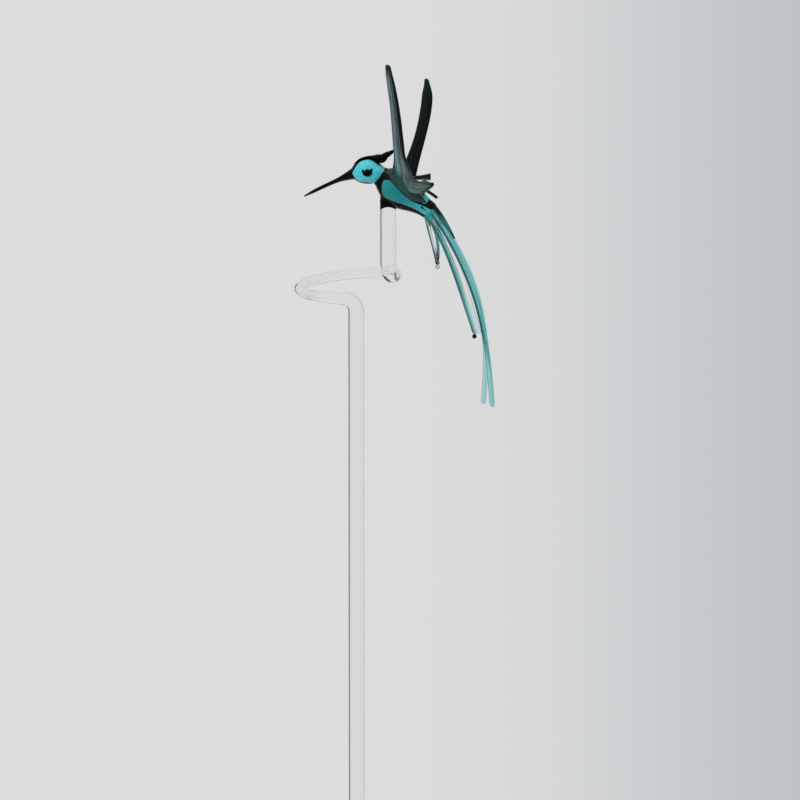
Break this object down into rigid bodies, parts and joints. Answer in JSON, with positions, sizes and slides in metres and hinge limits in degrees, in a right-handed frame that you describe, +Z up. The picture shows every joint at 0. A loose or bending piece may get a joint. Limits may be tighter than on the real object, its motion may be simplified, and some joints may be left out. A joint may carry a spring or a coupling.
{
  "type": "glass orchid stake",
  "caption": "Clear glass stake whose rod bends into an open loop round an orchid stem and rises as a short post that carries a flameworked glass hummingbird with raised wings.",
  "frame": {"origin": "centre of the flat foot of the stake", "axes": "+Z up along the stake, -X the way the bird faces (its beak is turned a little away from the viewer), -Y the viewer's side"},
  "size_m": [0.0752, 0.0526, 0.4975],
  "materials": {
    "clear_glass": "fire-polished, clear",
    "black_glass": "glossy, opaque",
    "turquoise_glass": "glossy, opaque",
    "teal_glass": "glossy, cloudy",
    "smoke_glass": "glossy, translucent, streaked",
    "aqua_glass": "glossy, transparent"
  },
  "bodies": {
    "root": {"stake_rod": "clear_glass", "stem_loop": "clear_glass", "perch_post": "clear_glass", "body_core": "black_glass", "neck_collar": "black_glass", "head_core": "black_glass", "beak": "black_glass", "crown_crest": "black_glass", "cheek_patch_left": "turquoise_glass", "cheek_patch_right": "turquoise_glass", "eye_left": "black_glass", "eye_right": "black_glass", "wing_left_primary": "smoke_glass", "wing_left_secondary": "smoke_glass", "wing_right_primary": "smoke_glass", "wing_right_secondary": "smoke_glass", "wing_right_tertial": "smoke_glass", "flank_panel_left": "teal_glass", "flank_panel_right": "teal_glass", "rump_patch": "teal_glass", "streamer_left": "aqua_glass", "streamer_right": "aqua_glass", "mid_feather_left": "aqua_glass", "mid_feather_right": "aqua_glass", "short_feather_left": "aqua_glass", "short_feather_middle": "aqua_glass", "short_feather_right": "aqua_glass", "mid_tip_bead": "black_glass", "short_tip_bead": "clear_glass", "tail_covert": "black_glass"}
  },
  "joints": []
}
